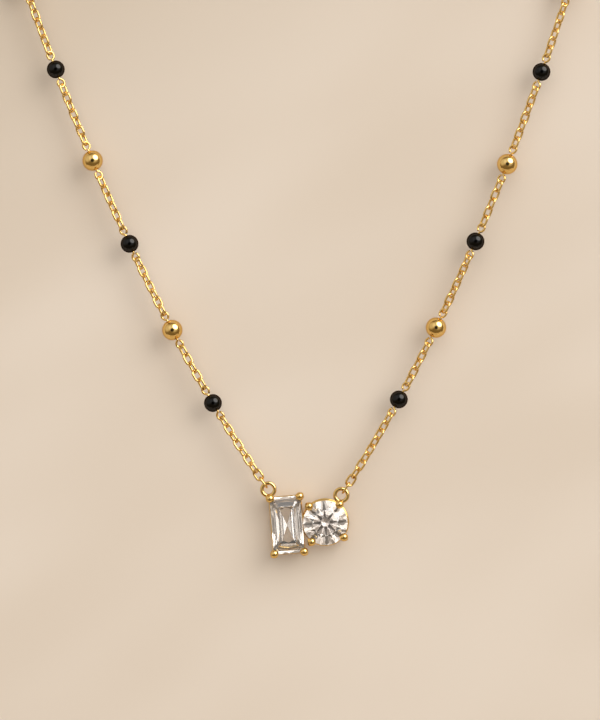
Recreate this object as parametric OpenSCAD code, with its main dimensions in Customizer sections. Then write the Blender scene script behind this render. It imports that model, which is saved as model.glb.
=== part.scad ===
// A mangalsutra: black beads and gold balls by turns on a fine cable chain, with a pendant of two
// stones that hangs from two small rings soldered to its claws.
// The loop hangs in the X-Z plane. Z is up, the stones face -Y, and the origin is the point where
// the chain passes over the nape. Left and right are as seen from the front.

/* [Loop] */
// Length of chain that hangs free on the left, from the pendant up to the neck
free_len = 132; // [110:1:160]
// Slope of the chain where it leaves the left ring, rise over run
ring_slope = 1.5; // [1.4:0.01:1.7]
// Sag length of the chain's catenary, which is its sideways pull over its weight
sag_len = 42; // [39:0.5:49]

/* [Chain] */
// Length of a link over its ends
link_len = 1.67; // [1.5:0.01:1.8]
// Width of a link over its sides
link_w = 1.14; // [1.05:0.01:1.25]
// Thickness of the links' wire
link_wire = 0.25; // [0.22:0.01:0.27]
// Least play where two links hook into each other
link_play = 0.125; // [0.12:0.005:0.16]
// Turn of the links about the chain, to either side by turns
link_roll = 45; // [40:1:50]
// Thickness of the plain cord that stands for the chain behind the neck
back_d = 1; // [0.8:0.05:1.2]

/* [Beads] */
// Diameter of a black bead
black_d = 2; // [1.8:0.05:2.3]
// Diameter of a gold ball
gold_d = 2.28; // [2:0.02:2.5]
// Beads and balls together on each side
bead_count = 19; // [13:2:19]
// Thickness of the wire pin through each bead
pin_wire = 0.25; // [0.22:0.01:0.27]
// Outer diameter of the loops at the pin's ends
loop_d = 1.15; // [1.05:0.01:1.3]
// Turn of the loops about the chain, away from facing the front
loop_roll = 20; // [10:1:25]
// Clearance round the pin in a bead's bore
bore_play = 0.07; // [0.04:0.01:0.12]
// Gap between a bead and the loops of its pin
bead_gap = 0.06; // [0.02:0.01:0.1]

/* [Pendant] */
// Lean of the pendant in its own plane, to the left
pendant_lean = 3.7; // [0:0.1:7]
// How far the stones' girdles lie in front of the two rings
girdle_front = 0.26; // [0.1:0.01:0.6]
// Gap between the two stones
stone_gap = 0.05; // [0.04:0.01:0.12]
// How far the round stone's centre lies below the long stone's
round_drop = 0.1; // [0:0.01:0.3]
// Outer diameter of the rings that the pendant hangs from
ring_d = 1.83; // [1.75:0.01:2.1]
// Thickness of the rings' wire
ring_wire = 0.42; // [0.36:0.01:0.46]
// Distance from a claw's middle up to the middle of the ring soldered to it
ring_rise = 0.9; // [0.85:0.01:1]
// Lean of the right ring away from straight above its claw
ring_side_lean = 12; // [0:1:20]

/* [Stones] */
// Thickness of both stones' girdles
girdle_t = 0.12; // [0.08:0.01:0.16]
// Width of the long stone
long_w = 3.45; // [3.2:0.01:3.8]
// Height of the long stone
long_h = 6.3; // [5.8:0.01:7]
// Cut across the long stone's corners, measured along each side
long_corner = 0.3; // [0.2:0.01:0.4]
// Width of the long stone's table
long_table_w = 1.76; // [1.6:0.01:2]
// Height of the long stone's table
long_table_h = 4.06; // [3.8:0.01:4.4]
// How far the crown's lower step goes in from the long stone's edge
crown_step_in = 0.3; // [0.2:0.01:0.4]
// Height of the crown's lower step
crown_step_up = 0.34; // [0.25:0.01:0.4]
// Height of the long stone's crown
long_crown = 0.66; // [0.55:0.01:0.8]
// How far the pavilion's first step goes in from the long stone's edge
pavilion_step_in = 0.5; // [0.4:0.01:0.6]
// Depth of the pavilion's first step
pavilion_step_down = 0.54; // [0.4:0.01:0.65]
// Depth of the long stone's pavilion
long_pavilion = 1.5; // [1.3:0.01:1.7]
// Diameter of the round stone
round_d = 4.95; // [4.6:0.01:5.3]
// Diameter of the round stone's table
round_table = 2.8; // [2.5:0.01:3.1]
// Height of the round stone's crown
round_crown = 0.74; // [0.65:0.01:0.85]
// Diameter of the ring of points where the star facets end
round_star = 3.56; // [3.4:0.01:3.8]
// Depth of the round stone's pavilion
round_pavilion = 2.13; // [2:0.01:2.3]
// Diameter of the ring of points where the lower half facets end
round_lower = 1.1; // [0.8:0.01:1.4]

/* [Setting] */
// Thickness of a claw
claw_d = 0.5; // [0.44:0.01:0.56]
// Diameter of the ball at a claw's tip
ball_d = 0.92; // [0.8:0.01:1]
// How far a ball's middle lies outside the stone's edge
ball_out = 0.11; // [0.08:0.01:0.2]
// Lean of the claws towards each other behind the stone, in degrees
claw_lean = 7; // [4:0.5:8]
// Gap between a stone and its setting
seat_gap = 0.03; // [0.02:0.01:0.06]
// How far the upper rails show outside the stones
rail_show = 0.095; // [0.07:0.005:0.14]
// Width of the long stone's rails, and thickness of the round stone's
rail_w = 0.28; // [0.24:0.01:0.32]
// Depth of the long stone's rails from front to back
rail_deep = 0.4; // [0.3:0.01:0.5]
// Depth of the lower rails behind the girdles
base_back = 2.05; // [1.9:0.01:2.3]

/* [Clasp] */
// Outer diameter of the clasp's ring
clasp_d = 5.4; // [5:0.1:6]
// Thickness of the clasp's tube
clasp_tube = 1; // [0.8:0.05:1.1]
// Outer diameter of the clasp's small eye
eye_d = 1.7; // [1.6:0.05:2]
// Thickness of the eye's wire
eye_wire = 0.4; // [0.3:0.01:0.42]
// Length of the neck between the clasp's tube and its eye
eye_neck = 0.3; // [0.2:0.05:0.5]
// Length of the thumb nub on the clasp
nub_len = 0.9; // [0.6:0.05:1.2]
// Thickness of the thumb nub, and of the neck between tube and eye
nub_d = 0.5; // [0.45:0.05:0.7]
// Outer diameter of the ring that the clasp closes on
tab_d = 3; // [2.8:0.1:3.4]
// Thickness of that ring's wire
tab_wire = 0.45; // [0.35:0.05:0.5]

/* [Hidden] */
// Play where pieces of different kinds hook into each other
hook_play = 0.07;
$fn = 48;
left = -1;
right = 1;

// Links below each bead in turn, going up from the pendant, in the front of the necklace
links_left = [9, 5, 7, 6, 7, 6];
links_right = [10, 5, 7, 5, 7, 6];
front_beads = len(links_left);
// How much looser than the least play the hooks of each of those stretches lie
loose_left = [0.045, 0, 0.085, 0.03, 0.055, 0.05];
loose_right = [0.045, 0.05, 0.105, 0, 0.055, 0.05];
// The same behind the neck, where the pattern goes on with equal stretches
back_links_gold = 6;
back_links_black = 7;
back_loose = 0.05;

// Angles of the round stone's claws about its middle, from the right and turning up
round_claws = [48, 130, 229, 318];

// Links are racetracks of ten sections with a five-sided wire
link_turns = 4;
link_sides = 5;
// The open loop of a pin stops short of its own stem by this angle, in even steps
loop_open = 50;
loop_steps = 10;
loop_sides = 6;
// Sides of the cord behind the neck, and the longest step between its sections
back_sides = 8;
back_step = 3;

// Half the room inside each thing that hooks
link_in = link_len / 2 - link_wire;
loop_in = loop_d / 2 - pin_wire;
ring_in = ring_d / 2 - ring_wire;
clasp_in = clasp_d / 2 - clasp_tube;
eye_in = eye_d / 2 - eye_wire;
tab_in = tab_d / 2 - tab_wire;
function hooked(in_a, in_b, play) = in_a + in_b - play;

// Radius of each ring's middle line
ring_mid = (ring_d - ring_wire) / 2;
loop_mid = (loop_d - pin_wire) / 2;
clasp_mid = (clasp_d - clasp_tube) / 2;
eye_mid = (eye_d - eye_wire) / 2;
tab_mid = (tab_d - tab_wire) / 2;
link_mid = (link_w - link_wire) / 2;
link_straight = (link_len - link_w) / 2;

// Claws stand outside the stone's edge and lean in behind it. How far out a claw's middle
// line is depends on the depth behind the girdle.
claw_clear = (claw_d / 2 + seat_gap) / cos(claw_lean);
function claw_out(depth) = claw_clear + (girdle_t / 2 - depth) * tan(claw_lean);
// The cut corners get smaller with each step towards the table
step_corner = long_corner * 2 / 3;
table_corner = long_corner / 3;
long_x = -(long_w + stone_gap) / 2;
round_x = (round_d + stone_gap) / 2;
corner_x = (long_w - long_corner) / 2;
corner_z = (long_h - long_corner) / 2;

// The rings are soldered to the long stone's upper left claw and the round stone's upper right one
function leaned(p) = [
    p.x * cos(pendant_lean) - p.y * sin(pendant_lean),
    p.x * sin(pendant_lean) + p.y * cos(pendant_lean)
];
left_claw = [long_x - corner_x, corner_z] + claw_out(girdle_front) * [-cos(45), sin(45)];
right_claw = [round_x, -round_drop]
    + (round_d / 2 + claw_out(girdle_front)) * [cos(round_claws[0]), sin(round_claws[0])];
left_ring_at = left_claw + [0, ring_rise];
right_ring_at = right_claw + ring_rise * [sin(ring_side_lean), cos(ring_side_lean)];
ring_span = leaned(right_ring_at - left_ring_at);

// The free chain is a catenary. Its slope grows evenly with the length t going up from the left
// ring, and reach and rise are its run sideways and upwards to a slope.
function asinh(u) = ln(u + sqrt(u * u + 1));
function reach(slope) = sag_len * asinh(slope);
function rise(slope) = sag_len * sqrt(1 + slope * slope);
free_slope = ring_slope + free_len / sag_len;
right_slope = sqrt(pow(rise(ring_slope) + ring_span.y, 2) - pow(sag_len, 2)) / sag_len;
right_start = (right_slope - ring_slope) * sag_len;
ring_x = (
    ring_span.x
    + ring_mid * (sin(atan(1 / ring_slope)) + sin(atan(1 / right_slope)))
    + reach(ring_slope) - reach(right_slope)
) / 2;

// The neck is the circle that the free chain runs onto, and the origin is on top of it
leave_angle = atan(1 / free_slope);
neck_r = (ring_x + reach(free_slope) - reach(ring_slope)) / cos(leave_angle);
ring_z = rise(ring_slope) - rise(free_slope) - neck_r * (1 + sin(leave_angle));
nape_t = free_len + neck_r * (90 + leave_angle) * PI / 180;

// Place and lean of the chain at the length t, on the right. The left side is its mirror image.
function slope_at(t) = ring_slope + t / sag_len;
function turn_at(t) = (t - free_len) / neck_r * 180 / PI - leave_angle;
function route_x(t) = t > free_len
    ? neck_r * cos(turn_at(t))
    : ring_x + reach(slope_at(t)) - reach(ring_slope);
function route_z(t) = t > free_len
    ? neck_r * (sin(turn_at(t)) - 1)
    : ring_z + rise(slope_at(t)) - rise(ring_slope);
function lean_at(t) = t > free_len ? -turn_at(t) : atan(1 / slope_at(t));

// Beads are counted up each side from 0. The even ones are black and the odd ones are gold.
function bead_d(i) = i % 2 == 0 ? black_d : gold_d;
function bead_reach(i) = bead_d(i) / 2 + bead_gap + loop_d / 2;
function start_t(side) = side == left ? 0 : right_start;
function links_below(side, i) = i >= front_beads
    ? (i % 2 == 0 ? back_links_black : back_links_gold)
    : (side == left ? links_left[i] : links_right[i]);
function loose_below(side, i) = i >= front_beads
    ? back_loose
    : (side == left ? loose_left[i] : loose_right[i]);
function pitch_below(side, i) = hooked(link_in, link_in, link_play + loose_below(side, i));
function loop_to_link(side, i) = hooked(loop_in, link_in, hook_play + loose_below(side, i));
function first_link_t(side, i) = i == 0
    ? start_t(side) + hooked(ring_in, link_in, hook_play + loose_below(side, i)) - ring_mid
    : bead_t(side, i - 1) + bead_reach(i - 1) + loop_to_link(side, i);
function link_t(side, i, k) = first_link_t(side, i) + k * pitch_below(side, i);
function bead_t(side, i) =
    link_t(side, i, links_below(side, i) - 1) + loop_to_link(side, i) + bead_reach(i);

// Links lie to one side and the other by turns. This says to which side the last link below a
// bead lies, which the bead's loops and the next link then answer.
function last_side(side, i) = i == 0
    ? (links_below(side, 0) % 2 == 1 ? -1 : 1)
    : last_side(side, i - 1) * (links_below(side, i) % 2 == 1 ? 1 : -1);
// The first link stands edge-on in the pendant's ring, and the second is turned between it and the rest
edge_roll = 90;
second_roll = (edge_roll - link_roll) / 2;
function link_roll_at(side, i, k) = i > 0
    ? last_side(side, i - 1) * (k % 2 == 0 ? link_roll : -link_roll)
    : k == 0 ? edge_roll : k == 1 ? second_roll : (k % 2 == 0 ? -link_roll : link_roll);

// The chain at the clasp: the eye takes the last left link, and the tab ring the last right one
eye_t = nape_t - (clasp_d / 2 + eye_neck + eye_d / 2);
tab_t = nape_t - hooked(clasp_in, tab_in, hook_play);
function end_link_t(side) = side == left
    ? eye_t - hooked(eye_in, link_in, hook_play)
    : tab_t - hooked(tab_in, link_in, hook_play);

// A point of a piece whose own Z runs up the chain, turned about it and put on the route
function placed(side, t, roll, p) = let (
    x = p.x * cos(roll) - p.y * sin(roll),
    y = p.x * sin(roll) + p.y * cos(roll),
    lean = lean_at(t)
) [
    side * (route_x(t) + x * cos(lean) + p.z * sin(lean)),
    y,
    route_z(t) - x * sin(lean) + p.z * cos(lean)
];

// Triangles between rings of points, for a tube that closes on itself or ends in flat caps.
// A mirror image has its faces turned the other way.
function tube_faces(first, rings, sides, closed, turned) = [
    for (i = [0 : rings - (closed ? 1 : 2)], j = [0 : sides - 1]) let (
        here = first + i * sides,
        next = first + ((i + 1) % rings) * sides,
        k = (j + 1) % sides
    ) each turned
        ? [[here + j, next + j, here + k], [here + k, next + j, next + k]]
        : [[here + j, here + k, next + j], [here + k, next + k, next + j]],
    if (!closed) let (last = first + (rings - 1) * sides) each [
        [for (j = [0 : sides - 1]) turned ? first + j : first + sides - 1 - j],
        [for (j = [0 : sides - 1]) turned ? last + sides - 1 - j : last + j]
    ]
];

// One link at the length t: a half circle at each end, joined by straight sides
function link_points(side, t, roll) = [
    for (end = [0, 1], turn = [0 : link_turns], j = [0 : link_sides - 1]) let (
        round_link = 90 * (2 * end - 1) + 180 * turn / link_turns,
        round_wire = 360 * j / link_sides,
        out = link_mid - link_wire / 2 * cos(round_wire)
    ) placed(side, t, roll, [
        out * sin(round_link),
        -link_wire / 2 * sin(round_wire),
        out * cos(round_link) + (1 - 2 * end) * link_straight
    ])
];

// A chain of loose links, each given as its length up the chain and its turn
module links(side, stations) {
    rings = 2 * (link_turns + 1);
    polyhedron(
        points = [for (s = stations) each link_points(side, s[0], s[1])],
        faces = [
            for (n = [0 : len(stations) - 1])
                each tube_faces(n * rings * link_sides, rings, link_sides, true, side == left)
        ],
        convexity = 10
    );
}

module front_chain(side) {
    links(side, [
        for (i = [0 : front_beads - 1], k = [0 : links_below(side, i) - 1])
            [link_t(side, i, k), link_roll_at(side, i, k)]
    ]);
}

// Half of a pin, from its stem round its loop. The first section is mitred where the stem
// meets the loop.
function half_pin(reach_up) = [
    for (n = [0 : loop_steps]) let (
        turn = n * (360 - loop_open) / loop_steps,
        mitre = n == 0 ? [cos(45), -sin(45)] / cos(45) : [sin(turn), -cos(turn)],
        middle = [loop_mid * sin(turn), reach_up - loop_mid * cos(turn)]
    ) [
        for (j = [0 : loop_sides - 1]) let (
            round_wire = 360 * j / loop_sides,
            at = middle + pin_wire / 2 * cos(round_wire) * mitre
        ) [at.x, pin_wire / 2 * sin(round_wire), at.y]
    ]
];
function pin_sections(i) = let (half = half_pin(bead_reach(i))) [
    for (n = [loop_steps : -1 : 0]) [for (p = half[n]) [p.x, p.y, -p.z]],
    each half
];

module bead_pins(side) {
    rings = 2 * (loop_steps + 1);
    polyhedron(
        points = [
            for (i = [0 : front_beads - 1], section = pin_sections(i), p = section)
                placed(side, bead_t(side, i), -last_side(side, i) * loop_roll, p)
        ],
        faces = [
            for (i = [0 : front_beads - 1])
                each tube_faces(i * rings * loop_sides, rings, loop_sides, false, side == right)
        ],
        convexity = 10
    );
}

// The cord behind the neck is thick between two beads and thin where it goes through one
function back_sections(side) = let (
    thin = pin_wire / 2,
    thick = back_d / 2,
    loop_end = bead_t(side, front_beads - 1) + bead_reach(front_beads - 1) + loop_d / 2 + link_play,
    last = bead_count - 1,
    plain_from = bead_t(side, last) + bead_d(last) / 2 + bead_gap,
    plain_to = end_link_t(side) - link_len / 2 - link_play,
    plain_steps = ceil((plain_to - plain_from) / back_step)
) [
    for (i = [front_beads : last]) let (
        from = i == front_beads ? loop_end : bead_t(side, i - 1) + bead_d(i - 1) / 2 + bead_gap,
        to = bead_t(side, i) - bead_d(i) / 2 - bead_gap
    ) each [
        if (i > front_beads) [from, thin],
        [from, thick],
        [(from + to) / 2, thick],
        [to, thick],
        [to, thin]
    ],
    [plain_from, thin],
    for (n = [0 : plain_steps]) [plain_from + (plain_to - plain_from) * n / plain_steps, thick]
];

module back_chain(side) {
    sections = back_sections(side);
    polyhedron(
        points = [
            for (s = sections, j = [0 : back_sides - 1]) let (a = 360 * j / back_sides)
                placed(side, s[0], 0, [s[1] * cos(a), s[1] * sin(a), 0])
        ],
        faces = tube_faces(0, len(sections), back_sides, false, side == right),
        convexity = 10
    );
    links(side, [[end_link_t(side), side == left ? edge_roll : 0]]);
}

module on_chain(side, t) {
    mirror([side == left ? 1 : 0, 0, 0])
        translate([route_x(t), 0, route_z(t)])
            rotate([0, lean_at(t), 0])
                children();
}

module bead(side, i) {
    on_chain(side, bead_t(side, i))
        difference() {
            sphere(d = bead_d(i));
            cylinder(h = 2 * bead_d(i), d = pin_wire + 2 * bore_play, center = true);
        }
}

module back_beads(side, first) {
    for (i = [first : 2 : bead_count - 1]) bead(side, i);
}

// A round wire ring that faces the front
module wire_ring(mid, wire) {
    rotate([90, 0, 0])
        rotate_extrude()
            translate([mid, 0])
                circle(d = wire, $fn = 24);
}

module clasp() {
    color("goldenrod") {
        wire_ring(clasp_mid, clasp_tube);
        on_chain(left, eye_t) wire_ring(eye_mid, eye_wire);
        translate([-clasp_mid, 0, 0])
            rotate([0, -90, 0])
                cylinder(h = clasp_tube / 2 + eye_neck + eye_wire / 2, d = nub_d);
        rotate([0, 60, 0])
            translate([0, 0, clasp_mid])
                cylinder(h = clasp_tube / 2 + nub_len, d = nub_d);
    }
}

module clasp_tab_ring() {
    color("goldenrod")
        on_chain(right, tab_t)
            rotate([0, 0, 90])
                wire_ring(tab_mid, tab_wire);
}

// The pendant's own frame: X and Z along its stones, the girdles' plane at Y = -girdle_front,
// and the point between the two stones at the origin
function ring_centre(side) = let (t = start_t(side), lean = lean_at(t)) [
    side * (route_x(t) - ring_mid * sin(lean)),
    route_z(t) - ring_mid * cos(lean)
];
pendant_at = ring_centre(left) - leaned(left_ring_at);

module in_pendant() {
    translate([pendant_at.x, 0, pendant_at.y])
        rotate([0, -pendant_lean, 0])
            translate([0, -girdle_front, 0])
                children();
}

// A claw beside a stone's edge: X points away from the stone, and Y goes back from the girdle.
// Its ball lies on the crown, whose slope fixes how far in front the ball is.
module claw(crown_slope) {
    ball_front = girdle_t / 2
        + (ball_d / 2 + seat_gap - ball_out * sin(crown_slope)) / cos(crown_slope);
    tip = claw_out(-ball_front);
    claw_len = (ball_front + base_back + rail_w) / cos(claw_lean);
    cap_more = 0.04;
    translate([tip, -ball_front, 0]) {
        sphere(d = claw_d + cap_more, $fn = 32);
        rotate([-90, 0, claw_lean]) cylinder(h = claw_len, d = claw_d, $fn = 32);
    }
    translate([ball_out, -ball_front, 0]) sphere(d = ball_d, $fn = 32);
}

// A rectangular rail whose outer half sizes are given, with its middle at a depth
module long_rail(half_w, half_h, depth) {
    translate([0, depth + rail_deep / 2, 0])
        rotate([90, 0, 0])
            linear_extrude(rail_deep)
                difference() {
                    square([2 * half_w, 2 * half_h], center = true);
                    square([2 * (half_w - rail_w), 2 * (half_h - rail_w)], center = true);
                }
}

module long_basket() {
    // The upper rail lies as deep as the stone's first step lets it
    seat_back = girdle_t / 2
        + (rail_w - rail_show + seat_gap) * pavilion_step_down / pavilion_step_in;
    base_out = claw_out(base_back) * cos(45);
    base_show = 0.06;
    crown_slope = atan(crown_step_up / (2 * crown_step_in - (long_corner - step_corner)) * sqrt(2));
    for (sx = [-1, 1], sz = [-1, 1])
        translate([sx * corner_x, 0, sz * corner_z])
            rotate([0, -sz * (90 - sx * 45), 0])
                claw(crown_slope);
    long_rail(long_w / 2 + rail_show, long_h / 2 + rail_show, seat_back + rail_deep / 2);
    long_rail(corner_x + base_out + base_show, corner_z + base_out + base_show, base_back);
}

module round_basket() {
    // The upper rail clears the pavilion, whose slope is its depth over the stone's radius
    pavilion_angle = atan(2 * round_pavilion / round_d);
    crown_slope = atan(2 * round_crown / (round_d - round_table));
    rail_mid = round_d / 2 + rail_show - rail_w / 2;
    seat_back = girdle_t / 2 + (rail_w / 2 + seat_gap) / cos(pavilion_angle)
        + (rail_w / 2 - rail_show) * tan(pavilion_angle);
    for (a = round_claws)
        rotate([0, -a, 0])
            translate([round_d / 2, 0, 0])
                claw(crown_slope);
    translate([0, seat_back, 0]) wire_ring(rail_mid, rail_w);
    translate([0, base_back, 0]) wire_ring(round_d / 2 + claw_out(base_back), rail_w);
}

module setting() {
    color("gold") {
        in_pendant() {
            translate([long_x, 0, 0]) long_basket();
            translate([round_x, 0, -round_drop]) round_basket();
        }
        for (side = [left, right]) {
            c = ring_centre(side);
            translate([c.x, 0, c.y]) wire_ring(ring_mid, ring_wire);
        }
    }
}

// Corners of a rectangle with cut corners, at a depth behind the girdle
function cut_corners(w, h, cut, depth) = [
    for (sx = [-1, 1], sz = [-1, 1]) each [
        [sx * w / 2, depth, sz * (h / 2 - cut)],
        [sx * (w / 2 - cut), depth, sz * h / 2]
    ]
];

// The solid that closes round a set of points, which gives a cut stone its flat facets
module cut_stone(points) {
    hull() polyhedron(points = points, faces = [[for (i = [0 : len(points) - 1]) i]]);
}

module long_stone() {
    half_t = girdle_t / 2;
    color("aliceblue")
        in_pendant()
            translate([long_x, 0, 0])
                cut_stone(concat(
                    cut_corners(long_table_w, long_table_h, table_corner, -half_t - long_crown),
                    cut_corners(
                        long_w - 2 * crown_step_in, long_h - 2 * crown_step_in,
                        step_corner, -half_t - crown_step_up
                    ),
                    cut_corners(long_w, long_h, long_corner, -half_t),
                    cut_corners(long_w, long_h, long_corner, half_t),
                    cut_corners(
                        long_w - 2 * pavilion_step_in, long_h - 2 * pavilion_step_in,
                        step_corner, half_t + pavilion_step_down
                    ),
                    [[0, half_t + long_pavilion, 0]]
                ));
}

// Points evenly round the stone's axis
function round_points(n, d, first, depth) = [
    for (i = [0 : n - 1]) let (a = first + 360 * i / n) [d / 2 * cos(a), depth, d / 2 * sin(a)]
];

module round_stone() {
    half_t = girdle_t / 2;
    facets = 8;
    half_step = 180 / facets;
    // The kite facets are flat, which fixes the height of the points between them
    star_in = (round_star * cos(half_step) - round_table) / (round_d - round_table);
    lower_in = (round_d - round_lower * cos(half_step)) / round_d;
    color("white")
        in_pendant()
            translate([round_x, 0, -round_drop])
                cut_stone(concat(
                    round_points(facets, round_table, 0, -half_t - round_crown),
                    round_points(facets, round_star, half_step, -half_t - round_crown * (1 - star_in)),
                    round_points(2 * facets, round_d, 0, -half_t),
                    round_points(2 * facets, round_d, 0, half_t),
                    round_points(facets, round_lower, half_step, half_t + round_pavilion * lower_in),
                    [[0, half_t + round_pavilion, 0]]
                ));
}

module chain_left() { color("gold") front_chain(left); }
module chain_right() { color("gold") front_chain(right); }
module bead_pins_left() { color("goldenrod") bead_pins(left); }
module bead_pins_right() { color("goldenrod") bead_pins(right); }
module black_bead(side, n) { color("black") bead(side, 2 * n - 2); }
module gold_ball(side, n) { color("gold") bead(side, 2 * n - 1); }
module black_beads_back(side) { color("black") back_beads(side, front_beads); }
module gold_balls_back(side) { color("gold") back_beads(side, front_beads + 1); }
module back_chain_left() { color("gold") back_chain(left); }
module back_chain_right() { color("gold") back_chain(right); }

chain_left();
chain_right();
bead_pins_left();
bead_pins_right();
black_bead(left, 1);  // black_bead_left_1
gold_ball(left, 1);  // gold_ball_left_1
black_bead(left, 2);  // black_bead_left_2
gold_ball(left, 2);  // gold_ball_left_2
black_bead(left, 3);  // black_bead_left_3
gold_ball(left, 3);  // gold_ball_left_3
black_bead(right, 1);  // black_bead_right_1
gold_ball(right, 1);  // gold_ball_right_1
black_bead(right, 2);  // black_bead_right_2
gold_ball(right, 2);  // gold_ball_right_2
black_bead(right, 3);  // black_bead_right_3
gold_ball(right, 3);  // gold_ball_right_3
black_beads_back(left);  // black_beads_back_left
gold_balls_back(left);  // gold_balls_back_left
black_beads_back(right);  // black_beads_back_right
gold_balls_back(right);  // gold_balls_back_right
back_chain_left();
back_chain_right();
clasp();
clasp_tab_ring();
setting();
long_stone();
round_stone();
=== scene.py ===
# %% [markdown]
# # A mangalsutra of black beads, gold balls and two stones
# The real piece is a fine gold cable chain. Every few links it carries a bead on its own wire pin,
# black glass and hollow gold by turns, and at the bottom two clear stones sit side by side in one
# soldered setting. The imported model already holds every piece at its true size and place. One way
# to work would be to model it all again by eye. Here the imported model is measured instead, so that
# each finer piece made below lies exactly where its plain one lies.
# %% Load the frame
import math
import random

import bmesh
import bpy
import numpy as np
from mathutils import Matrix, Vector


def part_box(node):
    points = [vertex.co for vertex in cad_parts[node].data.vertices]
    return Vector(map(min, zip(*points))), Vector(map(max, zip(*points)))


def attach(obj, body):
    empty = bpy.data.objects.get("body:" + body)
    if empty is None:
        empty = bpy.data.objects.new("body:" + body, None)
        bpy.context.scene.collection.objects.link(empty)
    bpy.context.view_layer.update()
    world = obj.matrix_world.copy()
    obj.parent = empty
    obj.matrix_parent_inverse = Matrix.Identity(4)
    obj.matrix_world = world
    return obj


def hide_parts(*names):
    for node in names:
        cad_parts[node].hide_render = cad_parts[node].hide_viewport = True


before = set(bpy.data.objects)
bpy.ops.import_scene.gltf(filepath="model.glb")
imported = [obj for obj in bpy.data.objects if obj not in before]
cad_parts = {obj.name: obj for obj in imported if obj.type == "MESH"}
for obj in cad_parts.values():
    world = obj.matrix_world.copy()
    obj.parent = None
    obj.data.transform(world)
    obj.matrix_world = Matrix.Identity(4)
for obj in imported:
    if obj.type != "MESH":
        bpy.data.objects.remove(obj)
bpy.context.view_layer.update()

MM = 0.001
TINY = 1e-6
SIDES = ("left", "right")
scene = bpy.context.scene

# %% [markdown]
# ## Camera
# The photograph looks straight at the necklace, with the pendant below the middle. A long lens from
# nearly half a metre keeps the small depth of the piece from growing or shrinking anything. The
# height that the picture takes in sets the lens, because the picture is taller than wide, and the
# sensor's 36 mm stand for its longer side.
# %% Camera
LOOKS_AT = Vector((-0.559, 0, -170.19)) * MM
PICTURE_TALL = 79.89
CAMERA_BACK = 450
CAMERA_ROLL = math.radians(-0.898)
SENSOR = 36

camera = bpy.data.objects.new("camera", bpy.data.cameras.new("camera"))
camera.data.sensor_width = SENSOR
camera.data.lens = SENSOR * CAMERA_BACK / PICTURE_TALL
camera.data.clip_start = 0.01
camera.matrix_world = (
    Matrix.Translation(LOOKS_AT - Vector((0, CAMERA_BACK * MM, 0)))
    @ Matrix.Rotation(math.radians(90), 4, "X")
    @ Matrix.Rotation(CAMERA_ROLL, 4, "Z")
)
scene.collection.objects.link(camera)
scene.camera = camera
print("lens", round(camera.data.lens, 1), "mm")

# %% [markdown]
# ## Shader arithmetic
# A material is a graph of small nodes, and a formula drawn as a graph is hard to read. The class
# below wraps one output of a node, so that plain Python such as `1 - mask` adds the Math node that
# works it out over the surface. Every other node comes from one method, which takes the node's
# type, then its settings, then what goes into its sockets.
# %% A value that varies over a surface
class Value:
    """The output of a shader node, which Python arithmetic can use."""

    def __init__(self, shader, socket):
        self.shader = shader
        self.socket = socket

    def math(self, operation, first, second):
        return self.shader.node("ShaderNodeMath", {"operation": operation}, {0: first, 1: second})

    def __add__(self, other):
        return self.math("ADD", self, other)

    def __sub__(self, other):
        return self.math("SUBTRACT", self, other)

    def __rsub__(self, other):
        return self.math("SUBTRACT", other, self)

    def __mul__(self, other):
        return self.math("MULTIPLY", self, other)

    __radd__ = __add__
    __rmul__ = __mul__


# %% A shader, as a graph that starts empty
class Shader:
    """The nodes of a material or of the world."""

    def __init__(self, owner):
        owner.use_nodes = True
        self.owner = owner
        self.tree = owner.node_tree
        self.tree.nodes.clear()

    def node(self, kind, settings=None, inputs=None, output=0):
        made = self.tree.nodes.new(kind)
        for name, setting in (settings or {}).items():
            setattr(made, name, setting)
        for name, value in (inputs or {}).items():
            if isinstance(value, Value):
                self.tree.links.new(value.socket, made.inputs[name])
            else:
                made.inputs[name].default_value = value
        return Value(self, made.outputs[output]) if made.outputs else None

    def mix(self, factor, first, second):
        """A colour between two, through the colour sockets of the Mix node."""
        colours = {0: factor, 6: first, 7: second}
        return self.node("ShaderNodeMix", {"data_type": "RGBA"}, colours, output=2)

    def dot(self, first, second):
        """How far two directions agree, from -1 to 1."""
        ends = {0: first, 1: second}
        return self.node("ShaderNodeVectorMath", {"operation": "DOT_PRODUCT"}, ends, output=1)

    def ramp(self, value, low, high):
        """A smooth passage from 0 to 1 while the value goes from low to high."""
        levels = {"Value": value, "From Min": low, "From Max": high}
        return self.node("ShaderNodeMapRange", {"interpolation_type": "SMOOTHSTEP"}, levels)

    def noise(self, lump, detail=2, squeeze=(1, 1, 1), turn=0):
        """Noise over the object in lumps of a size in millimetres, turned about Y and squeezed."""
        place = self.node("ShaderNodeTexCoord", output="Object")
        place = self.node("ShaderNodeMapping", {}, {"Vector": place, "Rotation": (0, turn, 0)})
        place = self.node("ShaderNodeMapping", {}, {"Vector": place, "Scale": squeeze})
        settings = {"Vector": place, "Scale": 1 / (lump * MM), "Detail": detail}
        return self.node("ShaderNodeTexNoise", {}, settings)

    def finish(self, surface):
        """Joins the surface to the output, and gives the material or world back."""
        is_world = isinstance(self.owner, bpy.types.World)
        kind = "ShaderNodeOutputWorld" if is_world else "ShaderNodeOutputMaterial"
        self.node(kind, {}, {"Surface": surface})
        return self.owner


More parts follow.
